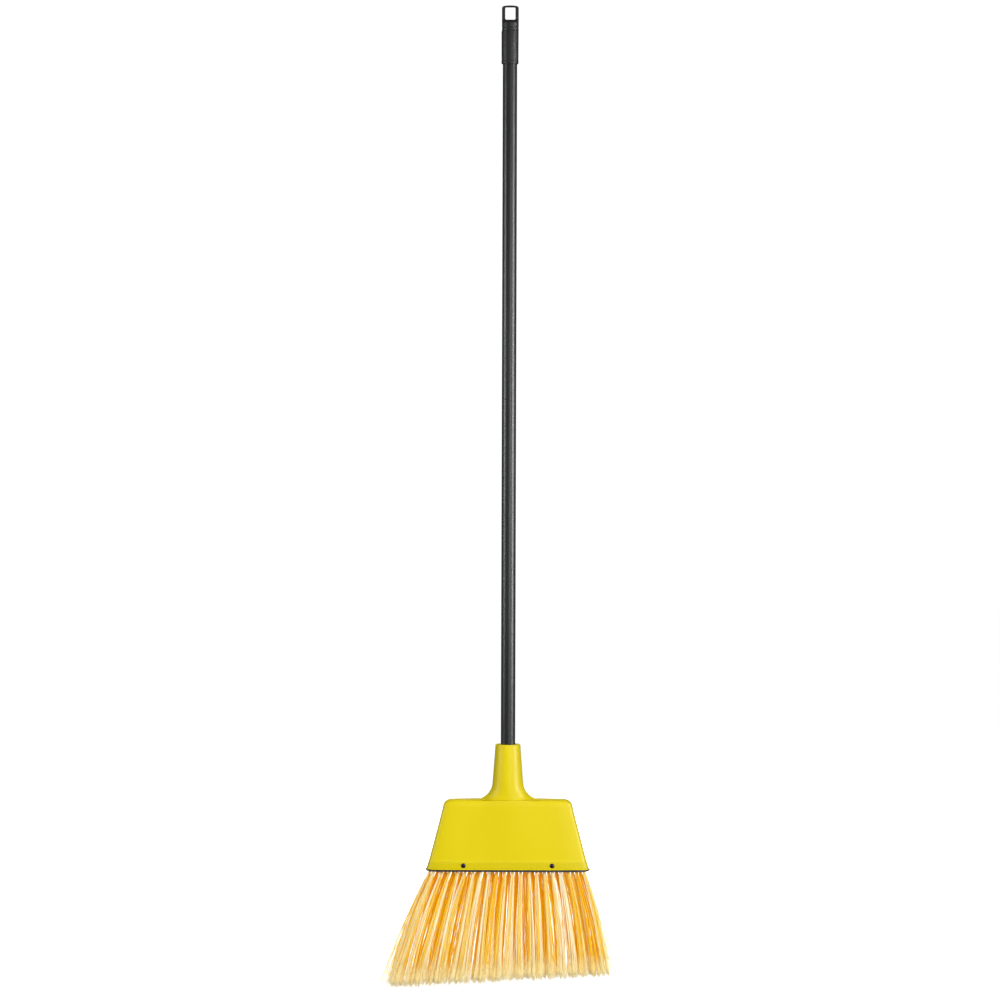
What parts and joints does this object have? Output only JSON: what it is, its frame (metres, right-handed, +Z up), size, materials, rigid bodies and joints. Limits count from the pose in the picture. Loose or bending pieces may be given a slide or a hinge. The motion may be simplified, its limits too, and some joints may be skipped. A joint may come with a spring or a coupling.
{
  "type": "upright broom",
  "caption": "Upright angle broom with a moulded yellow head cap, splayed orange bristle tufts trimmed at a slant, and a black tube handle that screws into the neck and ends in a hang loop.",
  "frame": {"origin": "on the floor under the middle of the whole broom's outline, with the broom upright on its bristle tips; the handle's axis is 13.1 mm to the +X side of it", "axes": "+Z up along the handle, +X along the head towards the shorter bristles, -Y towards the viewer who sees the longer bristles on the left"},
  "size_m": [0.3472, 0.0592, 1.5005],
  "materials": {
    "cap_yellow": "satin",
    "block_black": "satin",
    "handle_black": "gloss",
    "hang_black": "satin",
    "tip_black": "matte",
    "screw_black": "satin",
    "bristle_orange": "satin"
  },
  "bodies": {
    "head": {"head_shell": "cap_yellow", "bristle_block": "block_black", "screw_front_left": "screw_black", "screw_front_right": "screw_black", "screw_back_left": "screw_black", "screw_back_right": "screw_black", "tuft_front_01": "bristle_orange", "tuft_front_02": "bristle_orange", "tuft_front_03": "bristle_orange", "tuft_front_04": "bristle_orange", "tuft_front_05": "bristle_orange", "tuft_front_06": "bristle_orange", "tuft_front_07": "bristle_orange", "tuft_front_08": "bristle_orange", "tuft_front_09": "bristle_orange", "tuft_front_10": "bristle_orange", "tuft_front_11": "bristle_orange", "tuft_front_12": "bristle_orange", "tuft_front_13": "bristle_orange", "tuft_front_14": "bristle_orange", "tuft_front_15": "bristle_orange", "tuft_front_16": "bristle_orange", "tuft_front_17": "bristle_orange", "tuft_front_18": "bristle_orange", "tuft_front_19": "bristle_orange", "tuft_front_20": "bristle_orange", "tuft_mid_01": "bristle_orange", "tuft_mid_02": "bristle_orange", "tuft_mid_03": "bristle_orange", "tuft_mid_04": "bristle_orange", "tuft_mid_05": "bristle_orange", "tuft_mid_06": "bristle_orange", "tuft_mid_07": "bristle_orange", "tuft_mid_08": "bristle_orange", "tuft_mid_09": "bristle_orange", "tuft_mid_10": "bristle_orange", "tuft_mid_11": "bristle_orange", "tuft_mid_12": "bristle_orange", "tuft_mid_13": "bristle_orange", "tuft_mid_14": "bristle_orange", "tuft_mid_15": "bristle_orange", "tuft_mid_16": "bristle_orange", "tuft_mid_17": "bristle_orange", "tuft_mid_18": "bristle_orange", "tuft_mid_19": "bristle_orange", "tuft_mid_20": "bristle_orange", "tuft_back_1": "bristle_orange", "tuft_back_2": "bristle_orange", "tuft_back_3": "bristle_orange", "tuft_back_4": "bristle_orange", "tuft_back_5": "bristle_orange", "tuft_back_6": "bristle_orange", "tuft_back_7": "bristle_orange", "tuft_back_8": "bristle_orange"},
    "hanger": {"hang_loop": "hang_black"},
    "handle": {"handle_tube": "handle_black", "hang_sleeve": "hang_black", "threaded_tip": "tip_black"}
  },
  "joints": [
    {"name": "handle_lift", "type": "slide", "parent": "head", "child": "hanger", "axis": [0, 0, 1], "range_m": [0, 0.0254]},
    {"name": "handle_turn", "type": "hinge", "parent": "hanger", "child": "handle", "pos_m": [0.0131, 0, 0.3], "axis": [0, 0, 1], "range_deg": [0, 1800]}
  ],
  "couplings": [
    {"joint": "handle_lift", "follows": "handle_turn", "m_per_rad": 0.00080851}
  ]
}
